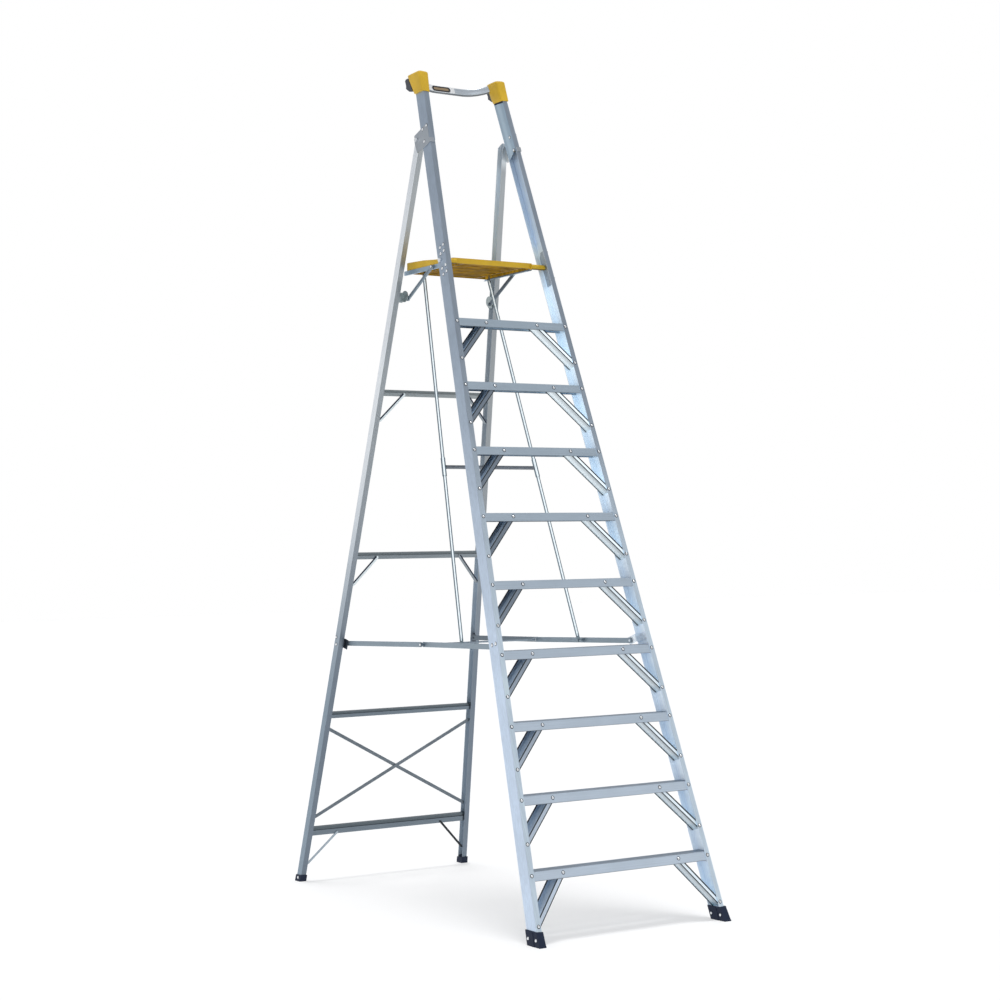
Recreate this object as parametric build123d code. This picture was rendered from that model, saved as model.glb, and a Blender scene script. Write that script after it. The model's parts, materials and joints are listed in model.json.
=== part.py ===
from build123d import *
import os
from math import asin, atan2, cos, degrees, hypot, radians, sin, tan

# Driving dimensions, in millimetres and degrees.
# X runs across the ladder, Y from the climbing side to the rear frame, Z up from the floor.
# A frame's own coordinates are: across, back (square to its front face) and along its slope.

# Climbing frame
front_lean = 17.8
front_half = 466.0          # outer half width where the front face meets the floor
front_taper = 3.66          # each stile leans inward by this in the frame's plane
stile_depth = 71.0
stile_flange = 24.7
stile_wall = 2.2
tread_rise = 285.0
tread_first = 276.0         # top of the lowest tread
tread_count = 9
tread_plate = 3.0
apron_height = 35.0
apron_wall = 2.2
rib_pitch = 8.0
rib_height = 1.2
rivet_in = 13.8             # flange rivet line, in from the stile's outer face
rivet_drop = 13.0           # tread rivets, below the tread's top
brace_reach = 149.0         # apron rivet, in from the flange rivet
brace_drop = 166.5          # lower brace rivet, below the upper one
first_brace_drop = 187.0    # the lowest braces reach further down
brace_leg = 22.0
brace_wall = 2.0
brace_skew = 0.21           # the rear leg stands higher, so that the brace is level from front to back
brace_inset = 4.0           # the brace's web, in from the flanges' lower edges

# Rear frame
rear_lean = 14.7
rear_half = 463.0
rear_taper = 3.737
rear_depth = 41.3
rear_flange = 26.5
rear_wall = 2.0
foot_spread = 2082.8        # front face of the front stiles to that of the rear stiles, on the floor
rear_rail_heights = (2286.8, 1538.7, 792.2, 235.2)
rear_rail_tall = (27.0, 29.0, 28.0, 40.0)
rear_rail_back = 9.0
rear_rail_deep = 20.0

# Top of the climbing frame
cap_bottom = 3632.0
cap_top = 3735.0
cap_wall = 12.0
cap_inner = 8.0             # how far the cap stands inside the stile's flanges
cap_round = 9.0             # corners of the cap, seen along the stile
cap_edge = 5.0              # edge round the cap's top
rail_level = 3911.0         # along the slope
rail_tall = 36.0
rail_thick = 18.0
rail_back = 134.0           # middle of the bow, behind the front face
rail_bend = 79.0            # radius of its two bends
rail_straight = 126.0       # half of the straight run between them
rail_seat = 73.5            # where the rail ends inside the cap
rail_corner = 6.0
rail_groove = 16.0          # height of the groove along its front face
rail_groove_deep = 1.5

# Fold: pivots are given by how far they lie behind the front face and by their height
hinge_back = 110.5
hinge_height = 3411.2
hinge_bolt_r = 6.0
deck_pivot_back = 48.0
deck_pivot_height = 2826.0
rear_close = 31.0           # how far the rear frame swings in
deck_lift = 70.5            # how far the platform and the front links swing up meanwhile
spreader_front_y = 473.0
spreader_front_z = 1147.0
spreader_rear_y = 1773.4
spreader_rear_z = 1136.0
front_link_x = (347.0, 296.0)   # X of the front link's middle at its pivot and at the joint
rear_link_x = (346.0, 309.0)    # the rear link laps outside it
link_tall = 18.0
link_thick = 3.0
lap_gap = 1.0
arm_gap = 1.8               # between a bracket's arm and the link or strut that turns beside it
strut_drop = 0.0            # strut's upper pivot, above the platform pivot
strut_rear_y = 1352.0
strut_rear_z = 2708.0
strut_x = 219.5
strut_tall = 16.0
strut_thick = 6.0
rod_reach = 327.0           # rod pivot on the front link, from the link's own pivot
rod_drop = 4.0              # rod pivots, below the level of the link's and the platform's pivot
rod_bottom_x = 302.0
rod_top_x = 172.0
rod_r = 8.0
rod_wall = 1.5
crossbar_height = 1922.0

# Platform
deck_front = 962.0
deck_rear = 1370.0
deck_front_half = 209.0
deck_rear_half = 215.3
deck_low = 2819.0
deck_level = 2843.0
deck_rise = 1.1             # degrees; the platform climbs a little to the rear
deck_skin = 6.0
deck_rib = 5.0
rib_half = 152.0            # the ribs stop here, clear of the rods when folded
rim_top = 2867.0
rim_wall = 5.0
side_rail_wall = 3.0
side_rail_low = 2812.0
side_rail_top = 2831.0
deck_lug_r = 12.0

running = 0.3               # play in a pivot
middle_y = 1056.761         # middle of the ladder's depth on the floor

sin_f, cos_f = sin(radians(front_lean)), cos(radians(front_lean))
sin_r, cos_r = sin(radians(rear_lean)), cos(radians(rear_lean))

# Placements: a frame's own coordinates to the floor's, and one stile's to its frame's
on_floor = Pos(0, -middle_y, 0)
front_frame = on_floor * Rot(-front_lean, 0, 0)
rear_frame = on_floor * Pos(0, foot_spread, 0) * Rot(rear_lean, 0, 0)
front_side = front_frame * Pos(front_half, 0, 0) * Rot(0, -front_taper, 0)
rear_side = rear_frame * Pos(rear_half, 0, 0) * Rot(0, -rear_taper, 0)


def slope(back, height):
    """Distance along the climbing frame's slope of a point behind its face at a height."""
    return (height + back * sin_f) / cos_f


def front_y(back, height):
    """Floor-frame Y, before centring, of a point behind the climbing frame's face."""
    return (back + height * sin_f) / cos_f


def rear_own(y, z):
    """Back and slope coordinates in the rear frame of a point in the floor's frame."""
    return (y - foot_spread) * cos_r + z * sin_r, z * cos_r - (y - foot_spread) * sin_r


def tread_top(index):
    """Height of a tread, counted from the floor."""
    return tread_first + (index - 1) * tread_rise


def turned(v, angle):
    """A (y, z) vector turned by an angle in degrees, lifting +Y towards +Z."""
    c, s = cos(radians(angle)), sin(radians(angle))
    return (v[0] * c - v[1] * s, v[0] * s + v[1] * c)


def swung(p, centre, angle):
    """A (y, z) point turned about a centre."""
    v = turned((p[0] - centre[0], p[1] - centre[1]), angle)
    return (centre[0] + v[0], centre[1] + v[1])


# The fold. The rear frame swings in about the hinge; the platform and the front links swing up together,
# because the rods and the stiles make a parallelogram with them.
hinge = (front_y(hinge_back, hinge_height), hinge_height)
deck_pivot = (front_y(deck_pivot_back, deck_pivot_height), deck_pivot_height)
link_front = (spreader_front_y, spreader_front_z)
link_rear = (spreader_rear_y, spreader_rear_z)
link_rear_shut = swung(link_rear, hinge, -rear_close)


def spreader_split():
    """Length of the front link, so that the straight spreader also meets when the ladder is shut.

    With the links in line at rest, a + b = L. When shut, the front link points along e and the rear
    pivot lies at c from the front one, so |a e - c| = b, which gives a = (L^2 - c^2) / (2 (L - e.c)).
    """
    span = (link_rear[0] - link_front[0], link_rear[1] - link_front[1])
    length = hypot(*span)
    along = turned((span[0] / length, span[1] / length), deck_lift)
    c = (link_rear_shut[0] - link_front[0], link_rear_shut[1] - link_front[1])
    a = (length ** 2 - c[0] ** 2 - c[1] ** 2) / (2 * (length - along[0] * c[0] - along[1] * c[1]))
    return a, length - a, (span[0] / length, span[1] / length)


front_link_length, rear_link_length, link_line = spreader_split()
joint = (link_front[0] + front_link_length * link_line[0], link_front[1] + front_link_length * link_line[1])
joint_shut = swung(joint, link_front, deck_lift)


def strut_reach():
    """How far behind the platform pivot the strut sits, so that its length holds open and shut.

    With q from the strut's rear pivot to the platform pivot, and r the strut's pivot on the platform,
    |q + r| is the same open and shut, which is linear in r's reach.
    """
    rear = (strut_rear_y, strut_rear_z)
    rear_shut = swung(rear, hinge, -rear_close)
    q = (deck_pivot[0] - rear[0], deck_pivot[1] - rear[1])
    p = (deck_pivot[0] - rear_shut[0], deck_pivot[1] - rear_shut[1])
    out, up = turned((1, 0), deck_lift), turned((0, 1), deck_lift)
    fixed = p[0] ** 2 + p[1] ** 2 - q[0] ** 2 - q[1] ** 2
    fixed += 2 * strut_drop * (p[0] * up[0] + p[1] * up[1] - q[1])
    return fixed / (2 * (q[0] - p[0] * out[0] - p[1] * out[1]))


strut_top = (deck_pivot[0] + strut_reach(), deck_pivot[1] + strut_drop)
strut_rear = (strut_rear_y, strut_rear_z)
rod_bottom = (link_front[0] + rod_reach, link_front[1] - rod_drop)
rod_top = (deck_pivot[0] + rod_reach, deck_pivot[1] - rod_drop)


def channel(depth, flange, wall, corner):
    """Channel section: outer web face on X=0, flanges running inward to X=-flange, Y from 0 to depth."""
    outline = Polyline(
        (-flange, 0), (0, 0), (0, depth), (-flange, depth), (-flange, depth - wall),
        (-wall, depth - wall), (-wall, wall), (-flange, wall), close=True)
    face = make_face(outline)
    return fillet([v for v in face.vertices() if abs(v.X) < 0.01], corner)


def both(right):
    """A right-hand piece and its mirror image, named by side."""
    return {"right": right, "left": mirror(right, about=Plane.YZ)}


def x_bar(radius, x0, x1, y, z):
    """Round bar across the ladder between two X values, at a floor-frame (y, z)."""
    bar = Pos((x0 + x1) / 2, 0, 0) * Rot(0, 90, 0) * Cylinder(radius, x1 - x0)
    return on_floor * Pos(0, y, z) * bar


def x_hex(across_r, x0, x1, y, z):
    """Hexagon prism across the ladder, for a bolt's head or nut."""
    prism = Plane.YZ * extrude(RegularPolygon(across_r, 6), amount=x1 - x0)
    return on_floor * Pos(x0, y, z) * prism


def side_plate(points, x0, x1, corner=0.0):
    """Plate lying along a stile: (back, along) outline, between two X values of the stile's own frame."""
    face = make_face(Polyline(*points, close=True))
    if corner:
        face = fillet(face.vertices(), corner)
    return extrude(Plane.YZ.offset(x0) * face, amount=x1 - x0)


def section_bar(points, length, corner=0.0):
    """Straight bar of an (X, Y) section along +Z."""
    face = make_face(Polyline(*points, close=True))
    if corner:
        face = fillet(face.vertices(), corner)
    return extrude(face, amount=length, dir=(0, 0, 1))


# Cutters that end a cross piece on the inner faces of a frame's webs
front_web_cut = front_side * Pos(100 - stile_wall - 0.05, 30, 1900) * Box(200, 300, 5000)
rear_web_cut = rear_side * Pos(100 - rear_wall - 0.05, 30, 1700) * Box(200, 300, 5000)


def trimmed(piece, cutter):
    """A cross piece ended on both webs."""
    return piece - cutter - mirror(cutter, about=Plane.YZ)


def front_stile():
    """Channel stile of the climbing frame, cut level at the floor end, bored for the platform's pin."""
    top = slope(0, cap_top) - 12
    section = channel(stile_depth, stile_flange, stile_wall, 2.5)
    bar = front_side * Pos(0, 0, -20) * extrude(section, amount=top + 20)
    bar = split(bar, bisect_by=Plane.XY.offset(7), keep=Keep.TOP)
    return bar - x_bar(hinge_bolt_r + 0.05, 200, 400, *deck_pivot)


def tread(index):
    """Extruded tread: level ribbed top, and two aprons lying along the stiles' flanges."""
    top = tread_top(index)
    low = top - apron_height
    skin = top - tread_plate
    front, back = stile_wall + 0.05, stile_depth - stile_wall - 0.05

    def at(n, z):
        return (front_y(n, z), z)

    outline = [at(front, low), at(front, top)]
    rib = front_y(front, top) + 3
    end = front_y(back, top) - 3
    while rib + rib_pitch / 2 < end:
        outline += [(rib, top), (rib, top + rib_height), (rib + rib_pitch / 2, top + rib_height),
                    (rib + rib_pitch / 2, top)]
        rib += rib_pitch
    outline += [at(back, top), at(back, low), at(back - apron_wall, low), at(back - apron_wall, skin),
                at(front + apron_wall, skin), at(front + apron_wall, low)]
    face = Plane.YZ * make_face(Polyline(*outline, close=True))
    bar = extrude(face, amount=front_half, both=True)
    return trimmed(on_floor * bar, front_web_cut)


def knee_braces():
    """Folded braces from each tread's apron down to the stile: two flanges, a web set in between."""
    near, far = stile_wall + apron_wall + 0.3, stile_depth - stile_wall - apron_wall - 0.3
    low_edge, high_edge = -brace_leg / 2, brace_leg / 2
    web, wall = low_edge + brace_inset, brace_wall
    near_in, far_in = near + wall, far - wall
    profile = [(low_edge, near), (high_edge, near), (high_edge, near_in), (web + wall, near_in),
               (web + wall, far_in), (high_edge, far_in), (high_edge, far), (low_edge, far),
               (low_edge, far_in), (web, far_in), (web, near_in), (low_edge, near_in)]
    profile = [(x + brace_skew * (y - near), y) for x, y in profile]
    end = 12.0
    braces = []
    for index in range(1, tread_count + 1):
        high = (tread_top(index) - rivet_drop) / cos_f
        drop = first_brace_drop if index == 1 else brace_drop
        low = high - drop / cos_f
        line = front_half - rivet_in
        lower = (line - low * tan(radians(front_taper)), low)
        upper = (line - high * tan(radians(front_taper)) - brace_reach, high)
        angle = degrees(atan2(lower[0] - upper[0], upper[1] - lower[1]))
        length = hypot(lower[0] - upper[0], upper[1] - lower[1])
        bar = section_bar(profile, length + 2 * end)
        bar = front_frame * Pos(lower[0], 0, lower[1]) * Rot(0, -angle, 0) * Pos(0, 0, -end) * bar
        under = Plane.XY.offset(tread_top(index) - tread_plate - 0.4)
        braces.append(split(bar - front_web_cut, bisect_by=under, keep=Keep.BOTTOM))
    return braces


def front_boot():
    """Moulded boot round the stile's foot, flared forward, with a raised band up each side."""
    def at(n, z):
        return (n, slope(n, z))

    inner, outer = -stile_flange - 2.5, 4.5
    body = side_plate([at(-16, -8), at(73, -8), at(73, 58), at(-6, 58)], inner, outer)
    body += side_plate([at(22, -8), at(45, -8), at(43, 54), at(20, 54)], inner - 1.5, outer + 1.5)
    body -= Pos(-stile_flange / 2, stile_depth / 2, 60) * Box(stile_flange + 0.2, stile_depth + 0.2, 400)
    core = Pos(-stile_wall - 12, stile_depth / 2, 25) * Box(19, stile_depth - 2 * stile_wall - 2, 50)
    boot = front_side * (body + core)
    boot = split(boot, bisect_by=Plane.XY, keep=Keep.TOP)
    floor_gap = on_floor * Pos(front_half, 30, 3.5) * Box(200, 300, 7)
    sole = front_side * side_plate([at(-16, -8), at(73, -8), at(73, 40), at(-14, 40)], inner, outer)
    return boot + split(sole & floor_gap, bisect_by=Plane.XY, keep=Keep.TOP)


def cap():
    """Moulded cap round the stile's end: flared back outside, slanted inside where the rail comes out."""
    def at(n, z):
        return (n, slope(n, z))

    front, back = -5.5, 106.0
    side = Polyline(at(front, cap_bottom - 4), at(front, cap_top), at(back, cap_top + 1),
                    at(101, cap_top - 23), at(80, 3646), at(79, cap_bottom), close=True)
    side = fillet([v for v in make_face(side).vertices() if v.X < 0 and v.Y > slope(0, 3700)], 13)
    inside = -stile_flange - cap_inner
    plan = Polyline((cap_wall, front), (cap_wall, 60), (cap_wall - 5, back), (-6, back), (inside + 5, 78),
                    (inside, 40), (inside, front), close=True)
    plan = fillet(make_face(plan).vertices(), cap_round)
    body = extrude(Plane.YZ.offset(-60) * side, amount=120) & extrude(plan, amount=2 * slope(0, cap_top))
    top = [e for e in body.edges() if e.center().Z > slope(e.center().Y, cap_top - 3)]
    body = fillet(top, cap_edge)
    socket = Box(stile_flange + 0.4, stile_depth + 0.4, 2 * (slope(0, cap_top) - 12))
    body -= Pos(-stile_flange / 2, stile_depth / 2, 0) * socket
    return front_side * body - rail_tube(0.2)


def rail_run(profile):
    """A profile carried along the rail's bow: a bend, a straight run and a bend."""
    centre = rail_back - rail_bend
    start = degrees(asin((rail_seat - centre) / rail_bend))
    left = CenterArc((-rail_straight, centre), rail_bend, 180 - start, start - 90)
    middle = Line((-rail_straight, rail_back), (rail_straight, rail_back))
    right = CenterArc((rail_straight, centre), rail_bend, 90, start - 90)
    path = Wire([left.edge(), middle.edge(), right.edge()])
    square = Plane(origin=path @ 0, x_dir=(0, 0, 1), z_dir=path % 0)
    return front_frame * Pos(0, 0, rail_level) * sweep(square * profile, path=path)


def rail_tube(gap=0.0):
    """Top rail's outside, grown by a gap all round."""
    return rail_run(RectangleRounded(rail_tall + 2 * gap, rail_thick + 2 * gap, rail_corner + gap))


def top_rail():
    """Top rail bowed back between the caps, with a groove along the face towards the climber."""
    groove = Pos(0, rail_thick / 2) * RectangleRounded(rail_groove, 2 * rail_groove_deep, 1.2)
    return rail_tube() - rail_run(groove)


def rail_plug():
    """Dark moulded block behind the cap, beside the rail's end."""
    def at(n, z):
        return (n, slope(n, z))

    points = [at(82, 3651), at(108, 3722), at(129, 3721), at(136, 3714), at(132, 3690), at(136, 3676),
              at(112, 3657)]
    return front_side * side_plate(points, -1.0, cap_wall - 4, 2.5)


def stile_liner():
    """Plate closing the stile's open side between the cap and the hinge, cut on the slant below."""
    points = [(0.5, slope(0, 3400)), (66, slope(66, 3350)), (66, slope(66, cap_bottom - 3)),
              (0.5, slope(0, cap_bottom - 6))]
    return front_side * side_plate(points, -stile_flange - 2.0, -stile_flange)


hinge_along = slope(hinge_back, hinge_height)


def hinge_plate():
    """Plate outside the stile's web that carries the hinge bolt, with a strap round the front corner."""
    low, high = hinge_along - 63, hinge_along + 36
    points = [(4, low), (60, low), (121, low + 8), (131, low + 66), (126, high), (4, high)]
    plate = side_plate(points, 0.05, 3.05, 3.5)
    strap = Pos(-8, -1.45, hinge_along - 51) * Box(22.1, 2.8, 22)
    strap += Pos(1.55, 3, hinge_along - 51) * Box(3, 11.7, 22)
    return front_side * (plate + strap) - x_bar(hinge_bolt_r + 0.05, 150, 300, *hinge)


def hinge_bolts():
    """The two hinge bolts, each with a head outside and a nut inside the rear stile."""
    bolt = x_bar(hinge_bolt_r, 222.5, 240, *hinge)
    bolt += x_hex(10.5, 238.9, 245.5, *hinge)
    return bolt + x_hex(10.0, 222.5, 229.6, *hinge)


def pivot_plate():
    """Doubling plate inside the web that takes the platform's pin."""
    low, high = slope(40, 2748), slope(40, 2906)
    points = [(12, low), (62, low), (62, high - 20), (48, high), (12, high)]
    plate = front_side * side_plate(points, -stile_wall - 3.05, -stile_wall - 0.05, 3)
    return plate - x_bar(hinge_bolt_r + 0.05, 200, 400, *deck_pivot)


def platform_pins():
    """Pins through the stiles' webs that the platform's lugs turn on."""
    pin = x_bar(hinge_bolt_r, 246, 282, *deck_pivot)
    return pin + x_hex(10, 277.2, 284, *deck_pivot)


pin_r = 5.0


def bar_link(start, end, x_start, x_end, tall, thick):
    """Flat link with round ends between two (y, z) pivots, slanting across X."""
    dy, dz = end[0] - start[0], end[1] - start[1]
    length = hypot(dy, dz)
    slant = degrees(atan2(x_end - x_start, length))
    run = hypot(length, x_end - x_start)
    face = SlotCenterToCenter(run, tall)
    bar = extrude(Pos(run / 2, 0) * face, amount=thick / 2, both=True)
    bar = Rot(0, 0, -slant) * Rot(0, 0, 90) * Rot(90, 0, 0) * bar
    return on_floor * Pos(x_start, *start) * Rot(degrees(atan2(dz, dy)), 0, 0) * bar


def pressed(link, start, end, x_start, x_end, tall):
    """A link with a shallow bead pressed along its inner face."""
    dy, dz = end[0] - start[0], end[1] - start[1]
    near, far = 0.06, 0.94
    s = (start[0] + near * dy, start[1] + near * dz)
    e = (start[0] + far * dy, start[1] + far * dz)
    xs, xe = x_start + near * (x_end - x_start), x_start + far * (x_end - x_start)
    return link - bar_link(s, e, xs - link_thick / 2, xe - link_thick / 2, tall * 0.35, 1.2)


def front_link():
    """Front spreader link, bored at its bracket, with the rod's pin and the joint's sleeve."""
    x0, x1 = front_link_x
    link = bar_link(link_front, joint, x0, x1, link_tall, link_thick)
    link = pressed(link, link_front, joint, x0, x1, link_tall)
    rod_x = x0 + (x1 - x0) * rod_reach / front_link_length
    link += x_bar(pin_r, rod_bottom_x - 7, rod_x, *rod_bottom)
    link += x_bar(7.0, x1, rear_link_x[1] - link_thick / 2 - lap_gap, *joint)
    return link - x_bar(pin_r + running, x0 - 8, x0 + 8, *link_front)


def rear_link():
    """Rear spreader link, lapped outside the front link's sleeve at the joint."""
    x0, x1 = rear_link_x
    link = bar_link(link_rear, joint, x0, x1, link_tall, link_thick)
    link = pressed(link, link_rear, joint, x0, x1, link_tall)
    link += x_bar(6.5, x1, x1 + link_thick / 2 + 3, *joint)
    return link - x_bar(pin_r + running, x0 - 8, x0 + 8, *link_rear)


def spreader_tie():
    """Tie rod between the two front links at the joints, collared where it meets them."""
    inner = front_link_x[1] - link_thick / 2 - 0.65
    tie = x_bar(4.0, -inner, inner, *joint)
    for side in (1, -1):
        ends = sorted((side * (inner - 14), side * inner))
        tie += x_bar(7.0, *ends, *joint)
    return tie


def front_spreader_bracket():
    """Cranked plate: riveted inside the web, out past the rear flange to the front link's pivot."""
    low = slope(stile_depth, spreader_front_z - 2)
    outer_x = front_half - (low + 15) * tan(radians(front_taper))
    arm = front_link_x[0] + link_thick / 2 + arm_gap - outer_x
    base = -stile_wall - 0.05
    steps = [(base, 10), (base, 64), (arm + 3, 64), (arm + 3, 116), (arm, 116), (arm, 61), (base - 3, 61),
             (base - 3, 10)]
    plate = Pos(0, 0, low) * section_bar(steps, 34)
    plate = front_side * plate
    return plate + x_bar(pin_r, arm + outer_x - link_thick - 5, arm + outer_x + 1.5, *link_front)


def rear_spreader_bracket():
    """Cranked plate on the rear stile, forward of its face to the rear link's pivot."""
    back, along = rear_own(*link_rear)
    outer_x = rear_half - along * tan(radians(rear_taper))
    arm = rear_link_x[0] + link_thick / 2 + arm_gap - outer_x
    base = -rear_wall - 0.05
    steps = [(base, 36), (base, 6), (arm + 3, 6), (arm + 3, back - 13), (arm, back - 13), (arm, 9),
             (base - 3, 9), (base - 3, 36)]
    plate = Pos(0, 0, along - 22) * section_bar(steps, 44)
    plate = rear_side * plate
    return plate + x_bar(pin_r, arm + outer_x - link_thick - 5, arm + outer_x + 1.5, *link_rear)


def rear_stile():
    """Channel stile of the rear frame; above the hinge its flanges are cut back on the slant."""
    back, along = rear_own(*hinge)
    top = along + 36
    bar = Pos(0, 0, -20) * extrude(channel(rear_depth, rear_flange, rear_wall, 2.0), amount=top + 20)
    edge = -rear_flange - 1
    cut = make_face(Polyline((-rear_wall - 2, top + 1), (edge, top - 24), (edge, top + 1), close=True))
    bar -= extrude(Plane.XZ * cut, amount=-rear_depth - 5)
    bar = split(rear_side * bar, bisect_by=Plane.XY.offset(6), keep=Keep.TOP)
    return bar - x_bar(hinge_bolt_r + running, 150, 300, *hinge)


def rear_rail(height, tall):
    """Rear cross rail: a channel with its web forward, the web stepped in along its upper part."""
    along = rear_own(foot_spread - height * tan(radians(rear_lean)), height)[1]
    low, high = along - tall / 2, along + tall / 2
    face, back = rear_rail_back, rear_rail_back + rear_rail_deep
    step = high - 0.38 * tall
    outline = [(face, low), (face, step), (face + 4, step), (face + 4, high), (back, high), (back, high - 2),
               (face + 6, high - 2), (face + 6, step - 2), (face + 2, step - 2), (face + 2, low + 2),
               (back, low + 2), (back, low)]
    bar = extrude(Plane.YZ * make_face(Polyline(*outline, close=True)), amount=rear_half, both=True)
    return trimmed(rear_frame * bar, rear_web_cut)


def flat_bar(start, end, back, wide, thick):
    """Flat bar with round ends in the rear frame's plane, between two (across, along) points."""
    du, dv = end[0] - start[0], end[1] - start[1]
    length = hypot(du, dv)
    bar = extrude(Pos(length / 2, 0) * SlotCenterToCenter(length, wide), amount=thick)
    bar = Rot(-90, 0, 0) * Rot(0, 0, -degrees(atan2(dv, du))) * bar
    return rear_frame * Pos(start[0], back, start[1]) * bar


def rear_along(height):
    """Slope coordinate of a height on the rear frame's front face."""
    return height / cos_r


def rear_knee_straps():
    """Flat straps from the rails to the stiles' flanges, under the upper two rails and the lowest."""
    runs = (((158, 2272), (286, 2138), 18.0, 3.0), ((210, 1524), (338, 1386), 18.0, 3.0),
            ((299, 213), (430, 84), 15.0, 2.5))
    straps = []
    for (u0, z0), (u1, z1), wide, thick in runs:
        straps.append(flat_bar((u0, rear_along(z0)), (u1, rear_along(z1)), rear_wall + 0.1, wide, thick))
    return straps


def cross_brace(side):
    """One bar of the X between the two lower rails; the other side's bar lies just behind it."""
    back = 10.0 if side > 0 else 13.1
    start, end = (side * 388, rear_along(729)), (-side * 412, rear_along(310))
    return trimmed(flat_bar(start, end, back, 24.0, 3.0), rear_web_cut)


def rear_foot():
    """Moulded shoe on the rear stile's end."""
    def at(n, z):
        return (n, (z - n * sin_r) / cos_r)

    inner = -rear_flange - 4.0
    deep = rear_depth + 4
    body = side_plate([at(-4, -6), at(deep + 0.5, -6), at(deep - 0.5, 31), at(-3.5, 31)], inner, 3.5)
    body -= Pos(-rear_flange / 2, rear_depth / 2, 50) * Box(rear_flange + 0.2, rear_depth + 0.2, 400)
    core = Pos(-rear_wall - 12, rear_depth / 2, 15) * Box(20, rear_depth - 2 * rear_wall - 2, 30)
    shoe = split(rear_side * (body + core), bisect_by=Plane.XY, keep=Keep.TOP)
    sole = rear_side * side_plate([at(-4, -6), at(deep + 0.5, -6), at(deep, 12), at(-4, 12)], inner, 3.5)
    slab = on_floor * Pos(rear_half, foot_spread + 20, 3) * Box(200, 300, 6)
    return shoe + (sole & slab)


def strut_bracket():
    """Rounded plate held off the rear stile, beside the strut's lower end."""
    back, along = rear_own(*strut_rear)
    outer_x = rear_half - along * tan(radians(rear_taper))
    arm = strut_x + strut_thick / 2 + 2.5 * arm_gap - outer_x
    base = -rear_wall - 0.05
    steps = [(base, 34), (base, 8), (arm + 3, 8), (arm + 3, 11), (base - 3, 11), (base - 3, 34)]
    leg = Pos(0, 0, along - 12) * section_bar(steps, 46)
    disc = Plane.YZ * extrude(Pos(-1, along + 19) * Ellipse(29, 26), amount=3)
    return rear_side * (leg + Pos(arm, 0, 0) * disc)


def strut():
    """Platform strut: a pressed bar with a groove along its outer face and round, bored ends."""
    bar = bar_link(strut_top, strut_rear, strut_x, strut_x, strut_tall, strut_thick)
    dy, dz = strut_rear[0] - strut_top[0], strut_rear[1] - strut_top[1]
    s = (strut_top[0] + 0.12 * dy, strut_top[1] + 0.12 * dz)
    e = (strut_top[0] + 0.88 * dy, strut_top[1] + 0.88 * dz)
    bar -= bar_link(s, e, strut_x + strut_thick / 2, strut_x + strut_thick / 2, 6.0, 4.0)
    bar += x_bar(7.0, strut_x - strut_thick / 2 - 3, strut_x + strut_thick / 2 + 0.8, *strut_rear)
    return bar - x_bar(pin_r + running, strut_x - 10, strut_x + 10, *strut_top)


def rod():
    """Lifting rod: a round tube with flattened, bored ends, from the front link to the platform."""
    bottom = (rod_bottom_x, rod_bottom[0], rod_bottom[1])
    top = (rod_top_x, rod_top[0], rod_top[1])
    axis = Vector(top) - Vector(bottom)
    line = Plane(origin=bottom, x_dir=(1, 0, 0), z_dir=axis)
    tube = line.offset(20) * extrude(Circle(rod_r) - Circle(rod_r - rod_wall), amount=axis.length - 40)
    for end, along in ((bottom, 1), (top, -1)):
        tang = Plane(origin=end, x_dir=(1, 0, 0), z_dir=axis * along)
        tube += tang * Pos(0, 0, 14) * Box(6, 18, 32)
        tube += Pos(*end) * Rot(0, 90, 0) * Cylinder(9, 6)
    tube = on_floor * tube
    tube -= x_bar(pin_r + running, rod_bottom_x - 12, rod_bottom_x + 12, *rod_bottom)
    return tube - x_bar(pin_r + running, rod_top_x - 12, rod_top_x + 12, *rod_top)


def rod_crossbar():
    """Bar that keeps the two rods apart, with a split sleeve round each rod."""
    share = (crossbar_height - rod_bottom[1]) / (rod_top[1] - rod_bottom[1])
    x = rod_bottom_x + share * (rod_top_x - rod_bottom_x)
    y = rod_bottom[0] + share * (rod_top[0] - rod_bottom[0])
    bar = x_bar(6.0, -(x - rod_r - 1), x - rod_r - 1, y, crossbar_height)
    axis = Vector(rod_top_x - rod_bottom_x, rod_top[0] - rod_bottom[0], rod_top[1] - rod_bottom[1])
    sleeve = extrude(Circle(rod_r + 2.2) - Circle(rod_r + 0.05), amount=42, both=True)
    sleeve = on_floor * (Plane(origin=(x, y, crossbar_height), x_dir=(1, 0, 0), z_dir=axis) * sleeve)
    return bar + sleeve + mirror(sleeve, about=Plane.YZ)


def deck_half(y):
    """Half width of the platform at a floor-frame Y."""
    return deck_front_half + (deck_rear_half - deck_front_half) * (y - deck_front) / (deck_rear - deck_front)


def deck_plan(inset, corner):
    """Platform outline seen from above, drawn in by an inset."""
    front, rear = deck_half(deck_front) - inset, deck_half(deck_rear) - inset
    points = [(-front, deck_front + inset), (front, deck_front + inset), (rear, deck_rear - inset),
              (-rear, deck_rear - inset)]
    return fillet(make_face(Polyline(*points, close=True)).vertices(), corner)


def deck_tilt():
    """Placement that turns the platform about its pivot by its slight rise, from the floor frame."""
    out = Pos(0, deck_pivot[0], deck_pivot[1])
    return on_floor * out * Rot(deck_rise, 0, 0) * out.inverse()


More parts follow.
